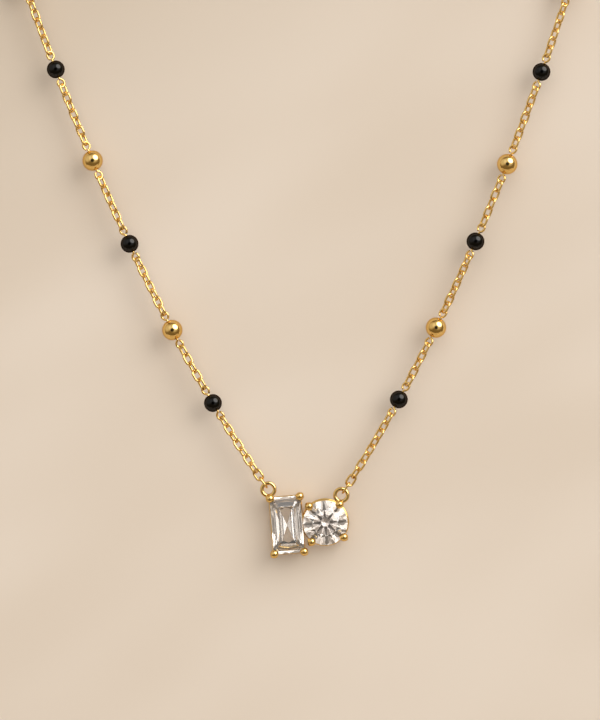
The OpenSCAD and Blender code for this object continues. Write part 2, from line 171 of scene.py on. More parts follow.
# %% [markdown]
# ## Light
# Polished gold has no look of its own: it shows the room. The real one hung in a warm room with a
# soft window high on the right, a brighter pane in that window, a weaker glow at the upper left,
# and the lens as a dark spot straight ahead. A studio could be built from cards and lamps. Here
# the world's shader paints the room by direction, so that each ball and link mirrors it alike, and
# one round area light throws the soft shadows and stays out of reflections. Gold, clear stones and
# matt things each meet the room at strengths of their own.
# %% Main light
LIGHT_OFF = 46
LIGHT_UP = 38
LIGHT_AWAY = 1.5
LIGHT_WIDE = 40
LIGHT_POWER = 7.5
LIGHT_TINT = (1, 0.96, 0.92)


def cosine(degrees):
    return math.cos(math.radians(degrees))


def sine(degrees):
    return math.sin(math.radians(degrees))


def off_axis(off, up):
    """The direction so many degrees off straight ahead, and so many up from the right."""
    return Vector((sine(off) * cosine(up), -cosine(off), sine(off) * sine(up)))


toward_light = off_axis(LIGHT_OFF, LIGHT_UP)
lamp = bpy.data.lights.new("main_light", "AREA")
lamp.shape = "DISK"
lamp.size = 2 * LIGHT_AWAY * math.tan(math.radians(LIGHT_WIDE / 2))
lamp.energy = LIGHT_POWER
lamp.color = LIGHT_TINT
main_light = bpy.data.objects.new("main_light", lamp)
main_light.visible_glossy = False
main_light.location = LOOKS_AT + toward_light * LIGHT_AWAY
main_light.rotation_euler = toward_light.to_track_quat("Z", "Y").to_euler()
scene.collection.objects.link(main_light)
scene.view_settings.view_transform = "Standard"
print("main light", round(lamp.size, 2), "m across")

# %% The parts of the room, by direction
scene.world = bpy.data.worlds.new("room")
room = Shader(scene.world)
direction = room.node("ShaderNodeTexCoord", output="Generated")


def patch(off, up, outer, inner):
    """A round patch of the room, 0 outside its outer angle and 1 inside its inner one."""
    return room.ramp(room.dot(direction, off_axis(off, up)), cosine(outer), cosine(inner))


glow = patch(off=32, up=58, outer=62, inner=26)
pane = patch(off=54, up=46, outer=31, inner=21)
fill = patch(off=60, up=155, outer=48, inner=14)
lens_in_gold = patch(off=0, up=0, outer=24, inner=15)
lens_in_stones = patch(off=0, up=0, outer=23, inner=13)
through = room.node("ShaderNodeLightPath", output="Is Transmission Ray")
shine = room.node("ShaderNodeLightPath", output="Is Glossy Ray") * (1 - through)
matt = 1 - through - shine

# %% How bright and how warm each finish finds the room
WALL_TINT = (1, 0.94, 0.90, 1)
WALL_IN_STONES = (1, 0.85, 0.71, 1)
WALL_IN_GOLD = (1, 0.76, 0.44, 1)
WINDOW_TINT = (1, 0.965, 0.935, 1)
WINDOW_IN_STONES = (1, 0.93, 0.86, 1)
FILL_TINTED = 0.8
PLAIN_TINT = (0.80, 0.70, 0.60, 1)


def brightness(wall, window, fill_in=0, pane_in=0, hidden=0):
    """The room's strength by direction, from that of its parts and what the lens hides."""
    return (wall + window * glow + fill_in * fill + pane_in * pane) * (1 - hidden)


in_gold = brightness(wall=0.22, window=0.55, fill_in=0.5, pane_in=5, hidden=0.97 * lens_in_gold)
in_stones = brightness(wall=0.38, window=2.0, fill_in=0.5, hidden=0.94 * lens_in_stones)
on_matt = brightness(wall=0.22, window=1.2)
strength = matt * on_matt + shine * in_gold + through * in_stones
wall_tint = room.mix(shine, room.mix(through, WALL_TINT, WALL_IN_STONES), WALL_IN_GOLD)
window_tint = room.mix(through, WINDOW_TINT, WINDOW_IN_STONES)
tint = room.mix(glow + FILL_TINTED * fill, wall_tint, window_tint)
lighting = room.node("ShaderNodeBackground", {}, {"Color": tint, "Strength": strength})
plain = room.node("ShaderNodeBackground", {}, {"Color": PLAIN_TINT, "Strength": 0.95})
seen = room.node("ShaderNodeLightPath", output="Is Camera Ray")
room.finish(room.node("ShaderNodeMixShader", {}, {0: seen, 1: lighting, 2: plain}))
print("room painted with", len(room.tree.nodes), "nodes")

# %% [markdown]
# ## Backdrop and floor
# The necklace hangs a couple of millimetres in front of a smooth pale backdrop, close enough for
# soft shadows to fall on it at the lower left. Faint painted streaks of shade slope across it, and
# painted shade darkens its upper-left corner. A sheet could be draped, but no fold shows, so one
# plane does. Its back is see-through, so that the necklace can be looked at from behind as well. A
# pale floor closes the studio far below.
# %% Backdrop and floor
BACKDROP_BEHIND = 2.45
FLOOR_BELOW = 600
BACKDROP_WIDE = 1200
FLOOR_DEEP = 200
CORNER_SHADE_WAY = (0.55, 0, -0.83)
CORNER_SHADE_FADES = (0.08, 0.125)
STREAK_SLOPE = math.radians(27)
PAPER_SHADED = (0.745, 0.64, 0.52, 1)
PAPER_LIGHT = (0.80, 0.70, 0.585, 1)
PAPER_IN_CORNER_SHADE = (0.655, 0.555, 0.435, 1)


def backdrop_material():
    shader = Shader(bpy.data.materials.new("pale_backdrop"))
    # painted shade: soft streaks of shadow across the paper
    streaks = shader.noise(lump=45, detail=1, squeeze=(1, 1, 2.6), turn=STREAK_SLOPE)
    place = shader.node("ShaderNodeTexCoord", output="Object")
    # painted shade: the paper darkens towards its upper-left corner
    down = shader.ramp(shader.dot(place, CORNER_SHADE_WAY), *CORNER_SHADE_FADES)
    grain = shader.noise(lump=0.5, detail=3)
    colour = shader.mix(shader.ramp(streaks, low=0.3, high=0.7), PAPER_SHADED, PAPER_LIGHT)
    colour = shader.mix(down, PAPER_IN_CORNER_SHADE, colour)
    bump = shader.node("ShaderNodeBump", {}, {"Strength": 0.04, "Distance": 0.0001, "Height": grain})
    sockets = {"Base Color": colour, "Roughness": 0.85 + 0.1 * grain, "Normal": bump}
    paper = shader.node("ShaderNodeBsdfPrincipled", {}, sockets)
    clear = shader.node("ShaderNodeBsdfTransparent")
    behind = shader.node("ShaderNodeNewGeometry", output="Backfacing")
    return shader.finish(shader.node("ShaderNodeMixShader", {}, {0: behind, 1: paper, 2: clear}))


def stage_plane(name, first, second, material):
    """A wide plane between two level edges, each given by its depth and height in millimetres."""
    half = BACKDROP_WIDE / 2
    corners = [(x, *first) for x in (-half, half)] + [(x, *second) for x in (half, -half)]
    mesh = bpy.data.meshes.new(name)
    mesh.from_pydata([Vector(c) * MM for c in corners], [], [(0, 1, 2, 3)])
    mesh.materials.append(material)
    made = bpy.data.objects.new(name, mesh)
    scene.collection.objects.link(made)


pale = backdrop_material()
foot = (BACKDROP_BEHIND, -FLOOR_BELOW)
stage_plane("backdrop", foot, (BACKDROP_BEHIND, BACKDROP_WIDE / 2), pale)
stage_plane("floor", (-FLOOR_DEEP, -FLOOR_BELOW), foot, pale)
print("backdrop", BACKDROP_BEHIND, "mm behind the middle of the necklace")

# %% [markdown]
# ## Finishes
# There are three: yellow gold, black glass and clear stone. None is perfectly even. Gold keeps
# hair-fine lines from the polishing wheel, its alloy varies a little, and painted shade darkens its
# reflection where it curves away, most of all on thin wire. Glass beads have faint pits, and painted
# shade darkens their rim to a matt brown. A stone is less clear in places, and lets part of the light
# behind it through. All of it could be painted as pictures, but noise in the material costs nothing
# to store and holds at any distance.
# %% Gold
GOLD_DEEP = (0.80, 0.51, 0.15)
GOLD_PALE = (0.94, 0.69, 0.29)


def gold_material(name, roughness, tone, edge):
    shader = Shader(bpy.data.materials.new(name))
    alloy = shader.noise(lump=1.4, detail=3)
    lines = shader.noise(lump=0.12, squeeze=(1, 1, 5))
    bump = shader.node("ShaderNodeBump", {}, {"Strength": 0.06, "Distance": 0.00001, "Height": lines})
    deep, pale = ([tone * part for part in gold] + [1] for gold in (GOLD_DEEP, GOLD_PALE))
    return shader.finish(shader.node("ShaderNodeBsdfPrincipled", {}, {
        "Base Color": shader.mix(alloy, deep, pale),
        "Metallic": 1.0,
        # painted shade: the edge tint darkens the reflection where the gold curves away
        "Specular Tint": (*edge, 1),
        "Roughness": roughness + 0.1 * lines,
        "Normal": bump,
    }))


# each finish's edge colour below is painted shade, darkest on the thin drawn wire
drawn_gold = gold_material("drawn_gold_wire", roughness=0.16, tone=1.05, edge=(0.31, 0.205, 0.09))
ball_gold = gold_material("polished_gold_ball", roughness=0.06, tone=0.95, edge=(0.72, 0.52, 0.32))
cast_gold = gold_material("polished_cast_gold", roughness=0.07, tone=0.97, edge=(0.5, 0.34, 0.17))
print("gold finishes:", drawn_gold.name, ball_gold.name, cast_gold.name)

# %% Black glass
GLASS_DEEP = (0.0004, 0.0003, 0.0003, 1)
GLASS_CLOUD = (0.0012, 0.001, 0.0008, 1)
PAINTED_RIM_SHADE = (0.02, 0.01, 0.004, 1)
RIM_SHADE_SHARE = 0.92


def glass_material():
    shader = Shader(bpy.data.materials.new("black_glass"))
    cloud = shader.noise(lump=0.8)
    pits = shader.noise(lump=0.1)
    bump = shader.node("ShaderNodeBump", {}, {"Strength": 0.05, "Distance": 0.00001, "Height": pits})
    glass = shader.node("ShaderNodeBsdfPrincipled", {}, {
        "Base Color": shader.mix(cloud, GLASS_DEEP, GLASS_CLOUD),
        "Roughness": 0.03 + 0.05 * cloud,
        "Normal": bump,
        "IOR": 1.36,
    })
    # painted shade: a matt brown takes the place of the glass's reflection at its rim
    rim = shader.node("ShaderNodeBsdfDiffuse", {}, {"Color": PAINTED_RIM_SHADE})
    facing = shader.node("ShaderNodeLayerWeight", {}, {"Blend": 0.5}, output="Facing")
    rim_shade = RIM_SHADE_SHARE * shader.ramp(facing, low=0.26, high=0.6)
    return shader.finish(shader.node("ShaderNodeMixShader", {}, {0: rim_shade, 1: glass, 2: rim}))


black_glass = glass_material()
print("glass finish:", black_glass.name)

# %% Clear stone
HAZE_DIMS = 0.97
LET_BY = 0.6


def stone_material(name, clearness, pale):
    shader = Shader(bpy.data.materials.new(name))
    haze = shader.noise(lump=1.2)
    stone = shader.node("ShaderNodeBsdfPrincipled", {}, {
        "Base Color": shader.mix(haze, [HAZE_DIMS * part for part in pale] + [1], [*pale, 1]),
        "Roughness": 0.015 * haze,
        "Transmission Weight": clearness,
        "IOR": 2.17,
    })
    clear = shader.node("ShaderNodeBsdfTransparent")
    shadow = shader.node("ShaderNodeLightPath", output="Is Shadow Ray")
    wall_light = shader.node("ShaderNodeLightPath", output="Is Diffuse Ray")
    let_by = LET_BY * (shadow + wall_light)
    return shader.finish(shader.node("ShaderNodeMixShader", {}, {0: let_by, 1: stone, 2: clear}))


clear_stone = stone_material("clear_stone", clearness=0.97, pale=(0.72, 0.685, 0.655))
milky_stone = stone_material("faintly_milky_stone", clearness=0.95, pale=(1, 0.98, 0.96))
print("stone finishes:", clear_stone.name, milky_stone.name)

# %% [markdown]
# ## From points to pieces
# Every piece below is worked out as points and faces in millimetres, then made into a mesh in one
# place. Small things that repeat, such as links, are one template that is copied to many places.
# Each copy has a middle and three directions: across its width, through its thickness and along
# its length. Copying the numbers instead of whole objects keeps the scene to a few joined meshes.
# %% Pieces and copies


def piece(name, form, material, nodes, body="necklace", smooth=True):
    """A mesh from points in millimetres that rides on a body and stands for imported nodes."""
    points, faces = form
    mesh = bpy.data.meshes.new(name)
    mesh.from_pydata((np.asarray(points) * MM).tolist(), [], faces)
    work = bmesh.new()
    work.from_mesh(mesh)
    bmesh.ops.recalc_face_normals(work, faces=work.faces)
    work.to_mesh(mesh)
    work.free()
    mesh.polygons.foreach_set("use_smooth", [smooth] * len(mesh.polygons))
    mesh.materials.append(material)
    made = bpy.data.objects.new(name, mesh)
    scene.collection.objects.link(made)
    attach(made, body)
    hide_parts(*nodes)
    print(name, "has", sum(len(p.vertices) - 2 for p in mesh.polygons), "triangles")


def joined(*parts):
    """Several sets of points and faces as one."""
    points, faces = [], []
    for part_points, part_faces in parts:
        first = sum(len(p) for p in points)
        points.append(part_points)
        faces += [tuple(i + first for i in face) for face in part_faces]
    return np.concatenate(points), faces


def copies(template, places):
    """A template's points and faces at places, each a middle and three directions."""
    points, faces = template
    return joined(*((middle + points @ ways, faces) for middle, ways in places))


# %% A grid of sections, as a tube or a turned form


def sections_to_faces(count, sides, closed):
    """Quads between neighbouring sections, with flat ends unless the row closes on itself."""
    faces = [
        (i * sides + j, i * sides + (j + 1) % sides, k * sides + (j + 1) % sides, k * sides + j)
        for i in range(count if closed else count - 1)
        for k in [(i + 1) % count]
        for j in range(sides)
    ]
    if not closed:
        faces += [tuple(range(sides)), tuple(range((count - 1) * sides, count * sides))]
    return faces


def tube(path, wire, sides, closed):
    """A round wire along a path that lies flat in X and Z."""
    path = np.asarray(path, float)
    if closed:
        way = np.roll(path, -1, 0) - np.roll(path, 1, 0)
    else:
        way = np.gradient(path, axis=0)
    way /= np.linalg.norm(way, axis=1, keepdims=True)
    turn = 2 * np.pi * np.arange(sides) / sides
    out = wire / 2 * np.cos(turn)
    points = np.stack([
        path[:, :1] + way[:, 1:] * out,
        np.repeat(wire / 2 * np.sin(turn)[None], len(path), 0),
        path[:, 1:] - way[:, :1] * out,
    ], -1)
    return points.reshape(-1, 3), sections_to_faces(len(path), sides, closed)


def turned(profile, sides):
    """A closed profile of radius and height turned round the Z axis."""
    profile = np.asarray(profile, float)
    turn = 2 * np.pi * np.arange(sides) / sides
    points = np.stack([
        profile[:, :1] * np.cos(turn),
        profile[:, :1] * np.sin(turn),
        np.repeat(profile[:, 1:], sides, 1),
    ], -1)
    return points.reshape(-1, 3), sections_to_faces(len(profile), sides, True)


# %% [markdown]
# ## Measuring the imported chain
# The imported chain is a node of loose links. To lay a finer link over each, the script has to know
# where each one is and how it is turned. The route could be worked out again from a formula, but
# measuring is safer. Faces that share points belong to one link, and the directions in which a
# link's points spread most and least are its length and its thickness.
# %% Loose solids of a node


def solids_in(node):
    """For each loose solid of a node: its middle and its directions of width, thickness, length."""
    work = bmesh.new()
    work.from_mesh(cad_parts[node].data)
    bmesh.ops.remove_doubles(work, verts=work.verts, dist=TINY)
    unseen, found = set(work.verts), []
    while unseen:
        reached, solid = [unseen.pop()], []
        while reached:
            vertex = reached.pop()
            solid.append(np.array(vertex.co) / MM)
            for edge in vertex.link_edges:
                other = edge.other_vert(vertex)
                if other in unseen:
                    unseen.remove(other)
                    reached.append(other)
        found.append(np.array(solid))
    work.free()
    return [measured(points) for points in found]


def measured(points):
    """The middle of a solid's points, and the directions in which they spread."""
    thin, _, long = np.linalg.eigh(np.cov(points.T))[1].T
    if long[2] < 0:
        long = -long
    ways = np.array([np.cross(thin, long), thin, long])
    seen_along = points @ ways.T
    middle = (seen_along.min(0) + seen_along.max(0)) / 2
    return middle @ ways, ways


def upright(way):
    """Directions of a piece that faces the front and whose length runs along a way in X and Z."""
    way = way / np.linalg.norm(way)
    thin = np.array([0, 1, 0])
    return np.array([np.cross(thin, way), thin, way])


def rolled(ways, degrees):
    """The same directions turned about the length."""
    wide, thin, long = ways
    c, s = cosine(degrees), sine(degrees)
    return np.array([c * wide + s * thin, c * thin - s * wide, long])


links_found = {side: solids_in("chain_" + side) for side in SIDES}
pins_found = {side: solids_in("bead_pins_" + side) for side in SIDES}
print("links in front:", {side: len(found) for side, found in links_found.items()})

# %% [markdown]
# ## Cable chain in front
# A cable link is a piece of round wire bent to an oval and soldered shut. Neighbours lie at right
# angles to each other, so that each shows its face and its edge by turns. The template is a
# racetrack path with a round wire. Each copy also gets a few degrees of its own, because no real
# chain hangs perfectly regular.
# %% Link template and the front chains
LINK_LENGTH = 1.56
LINK_WIDTH = 1.1
LINK_WIRE = 0.25
LINK_STEPS = 13
WIRE_SIDES = 12
LINK_UNREST = 5
UNREST_SEED = 7
FACE_ROLL = 38
EDGE_ROLL = 57
HIGH_MIDDLE = -90
HELD_BY_RINGS = 2


def racetrack(length, width, wire, steps):
    """The middle line of a link: two half circles joined by straight sides."""
    radius = (width - wire) / 2
    straight = (length - width) / 2
    turn = np.radians(np.concatenate([np.linspace(-90, 90, steps), np.linspace(90, 270, steps)]))
    end = np.repeat([straight, -straight], steps)
    return np.stack([radius * np.sin(turn), radius * np.cos(turn) + end], 1)


link = tube(racetrack(LINK_LENGTH, LINK_WIDTH, LINK_WIRE, LINK_STEPS), LINK_WIRE, WIRE_SIDES, True)
unrest = random.Random(UNREST_SEED)


def climb(solid):
    """How far up its side a solid's middle lies, as an angle about the loop's middle."""
    return math.atan2(abs(solid[0][0]), HIGH_MIDDLE - solid[0][2])


def restless(places):
    return [(middle, rolled(ways, unrest.uniform(-LINK_UNREST, LINK_UNREST))) for middle, ways in places]


def link_turn(k, count):
    """How far a link is turned from facing the front. Both ends of a run stand nearly edge-on."""
    share = 0 if count % 2 else k / (count - 1)
    if k % 2:
        return FACE_ROLL + (EDGE_ROLL - FACE_ROLL) * share
    return EDGE_ROLL - (EDGE_ROLL - FACE_ROLL) * share


def front_links(side):
    """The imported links, turned to show face and edge by turns. The lowest, held by a ring, stay."""
    runs = {}
    for solid in sorted(links_found[side], key=climb):
        run = sum(climb(pin) < climb(solid) for pin in pins_found[side])
        runs.setdefault(run, []).append(solid)
    places = []
    for run, found in runs.items():
        held = HELD_BY_RINGS if run == 0 else 0
        places += found[:held]
        for k, (middle, ways) in enumerate(found[held:]):
            side_way = math.copysign(1, ways[1][0] * ways[1][1])
            turn = side_way * link_turn(k, len(found) - held)
            places.append((middle, rolled(upright(ways[2]), turn)))
    return restless(places)


for side in SIDES:
    piece("chain_links_" + side, copies(link, front_links(side)), drawn_gold, ["chain_" + side])

# %% [markdown]
# ## Route behind the neck
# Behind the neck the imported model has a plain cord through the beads, because there are more links
# there than a working model can carry. The cord's beads still say where the chain runs: a smooth
# curve from bead to bead, with the links spread evenly over what the beads' loops leave free.
# %% Beads in order up each side
PIN_LOOP = 1.15
PIN_GAP = 0.06


def beads_up(side):
    """Middles of all the beads of a side and their diameters, from the pendant up."""
    found = []
    for kind in ("black_bead", "gold_ball"):
        low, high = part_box(kind + "_left_1")
        diameter = (high[1] - low[1]) / MM
        for n in (1, 2, 3):
            node = f"{kind}_{side}_{n}"
            low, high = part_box(node)
            found.append((np.array(low + high) / 2 / MM, diameter, node))
        node = f"{kind}s_back_{side}"
        found += [(middle, diameter, node) for middle, _ in solids_in(node)]
    return sorted(found, key=climb)


# %% A smooth stretch of chain between two places
STRETCH_STEPS = 65


class Stretch:
    """The chain's curve between two middles, with the length along it."""

    def __init__(self, start, end, start_way, end_way):
        span = np.linalg.norm(end - start)
        u = np.linspace(0, 1, STRETCH_STEPS)[:, None]
        self.points = (
            (2 * u**3 - 3 * u**2 + 1) * start
            + (u**3 - 2 * u**2 + u) * span * start_way
            + (3 * u**2 - 2 * u**3) * end
            + (u**3 - u**2) * span * end_way
        )
        steps = np.linalg.norm(np.diff(self.points, axis=0), axis=1)
        self.along = np.concatenate([[0], np.cumsum(steps)])
        self.ways = np.gradient(self.points, axis=0)
        self.length = self.along[-1]

    def place(self, length, roll):
        middle = np.array([np.interp(length, self.along, axis) for axis in self.points.T])
        way = np.array([np.interp(length, self.along, axis) for axis in self.ways.T])
        return middle, rolled(upright(way), roll)


def ways_through(stops):
    """The chain's direction at each stop but the last, as on a circle through its neighbours."""
    steps = np.diff(stops, axis=0)
    lengths = np.linalg.norm(steps, axis=1, keepdims=True)
    ways = steps / lengths
    inner = (ways[:-1] * lengths[1:] + ways[1:] * lengths[:-1]) / (lengths[1:] + lengths[:-1])
    return np.concatenate([ways[:1], inner])


# %% Links behind the neck
LINK_ROLL = 45
END_ROLL = {"left": 90, "right": 0}
SHARED_ROLL = 67.5
LOOP_TO_LINK = 0.79
LINK_PITCH = 0.995
FRONT_BEADS = 6


def pin_reach(diameter):
    """From a bead's middle to the middle of its pin's loop."""
    return diameter / 2 + PIN_GAP + PIN_LOOP / 2


def back_links(side, beads):
    """Places of the links from the last bead in front up to the clasp."""
    end_middle, end_ways = max(solids_in("back_chain_" + side), key=lambda solid: solid[0][2])
    way = end_ways[2] if end_ways[2][0] * end_middle[0] < 0 else -end_ways[2]
    stops = [bead[0] for bead in beads] + [end_middle]
    ways = [*ways_through(stops), way]
    places = []
    for i in range(FRONT_BEADS - 1, len(beads)):
        last = i == len(beads) - 1
        start = pin_reach(beads[i][1]) + LOOP_TO_LINK
        taken = 0 if last else pin_reach(beads[i + 1][1]) + LOOP_TO_LINK
        stretch = Stretch(stops[i], stops[i + 1], ways[i], ways[i + 1])
        free = stretch.length - start - taken
        steps = round(free / LINK_PITCH)
        pitch = free / steps
        for k in range(steps if last else steps + 1):
            roll = LINK_ROLL if k % 2 else -LINK_ROLL
            if last and k == steps - 1:
                roll = math.copysign(abs(END_ROLL[side] - SHARED_ROLL), -roll)
            places.append(stretch.place(start + k * pitch, roll))
    return restless(places) + [(end_middle, rolled(upright(way), END_ROLL[side]))]


beads = {side: beads_up(side) for side in SIDES}
for side in SIDES:
    places = back_links(side, beads[side])
    piece("chain_back_links_" + side, copies(link, places), drawn_gold, ["back_chain_" + side])
    print(len(places), "links behind the neck on the", side)

# %% [markdown]
# ## Beads and their wire pins
# Each bead is threaded on a short pin whose ends are bent to loops, and the chain hooks into the
# loops. A plain sphere would do from afar, but the drilled holes with their rounded rims show from
# close by. So a bead is a profile turned round its own hole, and a pin is a wire path with a small
# bend where the stem meets each loop.
# %% Bead and pin templates
PIN_WIRE = 0.25
BORE_PLAY = 0.07
RIM = 0.07
RIM_TURNS = (30, 60, 90)
BEAD_STEPS = 25
BEND = 0.12
BEND_TURNS = (0, 25, 50)
LOOP_STARTS = 24
LOOP_ENDS = 333
LOOP_STEPS = 24
LOOP_OVAL = 0.84
LOOP_ROLL = 20
BEAD_SIDES = 40


def bead_profile(diameter):
    """Half a bead cut through its middle: round outside, rounded rims, straight hole."""
    radius = diameter / 2
    bore = PIN_WIRE / 2 + BORE_PLAY
    first = math.asin((bore + RIM) / radius)
    top = radius * math.cos(first)
    turns = np.linspace(first, math.pi - first, BEAD_STEPS)
    outside = [(radius * math.sin(a), radius * math.cos(a)) for a in turns]
    rim = [
        (bore + RIM * (1 - math.sin(a)), top - RIM * (1 - math.cos(a)))
        for a in np.radians(RIM_TURNS)
    ]
    return rim[::-1] + outside + [(x, -z) for x, z in rim]


def pin_path(diameter):
    """Loop, stem and loop of a pin, flat in X and Z."""
    reach = pin_reach(diameter)
    radius = (PIN_LOOP - PIN_WIRE) / 2
    foot = reach - radius
    bend = [(BEND * (1 - math.cos(a)), foot - BEND * (1 - math.sin(a))) for a in np.radians(BEND_TURNS)]
    loop = [
        (radius * LOOP_OVAL * math.sin(a), reach - radius * math.cos(a))
        for a in np.radians(np.linspace(LOOP_STARTS, LOOP_ENDS, LOOP_STEPS))
    ]
    half_path = [(0, foot / 2)] + bend + loop
    return [(x, -z) for x, z in half_path[::-1]] + half_path


# %% Beads, balls and pins in place


def bead_places(side):
    """Place of each bead of a side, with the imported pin's own turn in front."""
    middles = [bead[0] for bead in beads[side]]
    ways = ways_through([*middles, middles[-1] + (middles[-1] - middles[-2])])
    turns = [pin[1] for pin in sorted(pins_found[side], key=climb)]
    for i in range(len(turns), len(middles)):
        turns.append(rolled(upright(ways[i]), LOOP_ROLL if i % 2 else -LOOP_ROLL))
    return zip(middles, turns)


for side in SIDES:
    places = bead_places(side)
    by_node = {}
    pins = []
    for (middle, diameter, node), place in zip(beads[side], places):
        by_node.setdefault(node, (diameter, []))[1].append(place)
        pins.append(copies(tube(pin_path(diameter), PIN_WIRE, WIRE_SIDES, False), [place]))
    piece("wire_pins_" + side, joined(*pins), drawn_gold, ["bead_pins_" + side])
    for node, (diameter, node_places) in by_node.items():
        form = copies(turned(bead_profile(diameter), BEAD_SIDES), node_places)
        material, slot = (black_glass, "black_bead") if "black" in node else (ball_gold, "gold")
        piece("drilled_" + node, form, material, [node])

# %% [markdown]
# ## Cutting the stones
# A stone is ground, not built up: each flat facet takes away everything in front of one plane. The
# same works on a mesh. A plain blank is cut by one plane after another, and the open cut is closed
# each time. Facet angles decide how a clear stone looks, because they decide where light turns
# back, so the planes pass through the same rings of points as in a real cut.
# %% The pendant's own frame
PENDANT_LEAN = 3.7
GIRDLE_FRONT = 0.26
GIRDLE = 0.12
lean = np.array([
    [cosine(PENDANT_LEAN), 0, sine(PENDANT_LEAN)],
    [0, 1, 0],
    [-sine(PENDANT_LEAN), 0, cosine(PENDANT_LEAN)],
])


def leaned_box(node):
    """Corners of a node along the pendant's own directions, in millimetres."""
    points = np.array([v.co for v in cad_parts[node].data.vertices]) / MM @ lean.T
    return points.min(0), points.max(0)


long_low, long_high = leaned_box("long_stone")
round_low, round_high = leaned_box("round_stone")
long_middle = (long_low + long_high) / 2
round_middle = (round_low + round_high) / 2
long_middle[1] = round_middle[1] = -GIRDLE_FRONT
LONG_W, LONG_H = (long_high - long_low)[[0, 2]]
ROUND_D = (round_high - round_low)[0]
print("long stone", round(LONG_W, 2), "x", round(LONG_H, 2), "mm, round stone", round(ROUND_D, 2), "mm")

# %% Planes of facets
INSIDE = np.array([0, 0.3, 0])


def facet(a, b, c):
    """The plane through three points, facing away from the stone's inside."""
    a, b, c = (np.asarray(p, float) for p in (a, b, c))
    normal = np.cross(b - a, c - a)
    normal /= np.linalg.norm(normal)
    if normal @ (a - INSIDE) < 0:
        normal = -normal
    return normal, normal @ a


def around(count, radius, first, depth):
    """Points evenly round the stone's axis, which runs from front to back."""
    turn = np.radians(first + 360 * np.arange(count) / count)
    return np.stack([radius * np.cos(turn), np.full(count, depth), radius * np.sin(turn)], 1)


# %% Facets of the round stone
ROUND_TABLE = 2.8
ROUND_CROWN = 0.74
ROUND_STAR = 3.56
ROUND_PAVILION = 2.13
ROUND_LOWER = 1.1


def brilliant_facets():
    """The 57 planes of a round brilliant about the middle of its girdle."""
    edge, half_step, front = ROUND_D / 2, 22.5, GIRDLE / 2
    star_in = (ROUND_STAR * cosine(half_step) - ROUND_TABLE) / (ROUND_D - ROUND_TABLE)
    lower_in = (ROUND_D - ROUND_LOWER * cosine(half_step)) / ROUND_D
    table = around(8, ROUND_TABLE / 2, 0, -front - ROUND_CROWN)
    star = around(8, ROUND_STAR / 2, half_step, -front - ROUND_CROWN * (1 - star_in))
    crown_edge = around(16, edge, 0, -front)
    back_edge = around(16, edge, 0, front)
    lower = around(8, ROUND_LOWER / 2, half_step, front + ROUND_PAVILION * lower_in)
    point = np.array([0, front + ROUND_PAVILION, 0])
    facets = [facet(*table[:3])]
    for k in range(8):
        after = (k + 1) % 8
        own, between, next_own = 2 * k, 2 * k + 1, 2 * after
        facets += [
            facet(table[k], star[k], star[k - 1]),
            facet(table[k], table[after], star[k]),
            facet(star[k], crown_edge[own], crown_edge[between]),
            facet(star[k], crown_edge[between], crown_edge[next_own]),
            facet(point, lower[k], lower[k - 1]),
            facet(lower[k], back_edge[own], back_edge[between]),
            facet(lower[k], back_edge[between], back_edge[next_own]),
        ]
    return facets


# %% Facets of the long stone
CORNERS = [(sx, sz) for sx in (-1, 1) for sz in (-1, 1)]
LONG_CORNER = 0.3
LONG_CROWN_STEPS = [(0, LONG_CORNER, 0), (0.3, 0.2, 0.34)]
LONG_TABLE = (1.76, 4.06, 0.1)
LONG_CROWN = 0.66
LONG_PAVILION_STEPS = [(0, LONG_CORNER, 0), (0.5, 0.2, 0.5)]
LONG_CULET = (1.5, 4.1, 0.1)
LONG_CULET_DOWN = 0.9
LONG_PAVILION = 1.5
CHEVRON_SLOPE = 0.62


def cut_corner(width, height, corner, depth):
    """The two points of a rectangle's cut corner at the upper right."""
    return [(width / 2, depth, height / 2 - corner), (width / 2 - corner, depth, height / 2)]


def step_planes(outer, inner):
    """The eight planes of one step between two rectangles with cut corners."""
    side_a, side_b = cut_corner(*outer)
    next_a, next_b = cut_corner(*inner)
    quarter = [
        facet(side_a, (side_a[0], side_a[1], 0), next_a),
        facet(side_b, (0, side_b[1], side_b[2]), next_b),
        facet(side_a, side_b, next_a),
    ]
    mirrored = {}
    for normal, distance in quarter:
        for sx, sz in CORNERS:
            flipped = normal * [sx, 1, sz]
            mirrored[tuple(np.round(flipped, 6) + 0.0)] = (flipped, distance)
    return list(mirrored.values())


def chevrons():
    """Two planes at each end of the back that meet in a ridge down the middle."""
    inset, _, down = LONG_PAVILION_STEPS[1]
    tilt = (down - inset * CHEVRON_SLOPE) / (LONG_W / 2 - LONG_CORNER)
    planes = []
    for sx, sz in CORNERS:
        normal = np.array([sx * tilt, 1, sz * CHEVRON_SLOPE])
        normal /= np.linalg.norm(normal)
        planes.append((normal, normal @ [0, GIRDLE / 2 + down, sz * (LONG_H / 2 - inset)]))
    return planes


def step_facets():
    """The planes of a step-cut stone whose back rises to one point, about its girdle's middle."""
    def rim(inset, corner, depth, way):
        return LONG_W - 2 * inset, LONG_H - 2 * inset, corner, way * (GIRDLE / 2 + depth)

    crown = [rim(*step, -1) for step in LONG_CROWN_STEPS]
    crown.append((*LONG_TABLE, -GIRDLE / 2 - LONG_CROWN))
    pavilion = [rim(*step, 1) for step in LONG_PAVILION_STEPS]
    pavilion.append((*LONG_CULET, GIRDLE / 2 + LONG_CULET_DOWN))
    pavilion.append((0, 0, 0, GIRDLE / 2 + LONG_PAVILION))
    table = (np.array([0, -1, 0]), -crown[-1][3])
    facets = [table] + chevrons()
    for rims in (crown, pavilion):
        for outer, inner in zip(rims, rims[1:]):
            planes = step_planes(outer, inner)
            if outer is pavilion[0]:  # the chevrons take the place of its end planes
                planes = [plane for plane in planes if abs(plane[0][0]) > TINY]
            facets += planes
    return facets


# %% The blank and the cutting
ROUND_SIDES = 64
CUT_PLAY = 1e-5


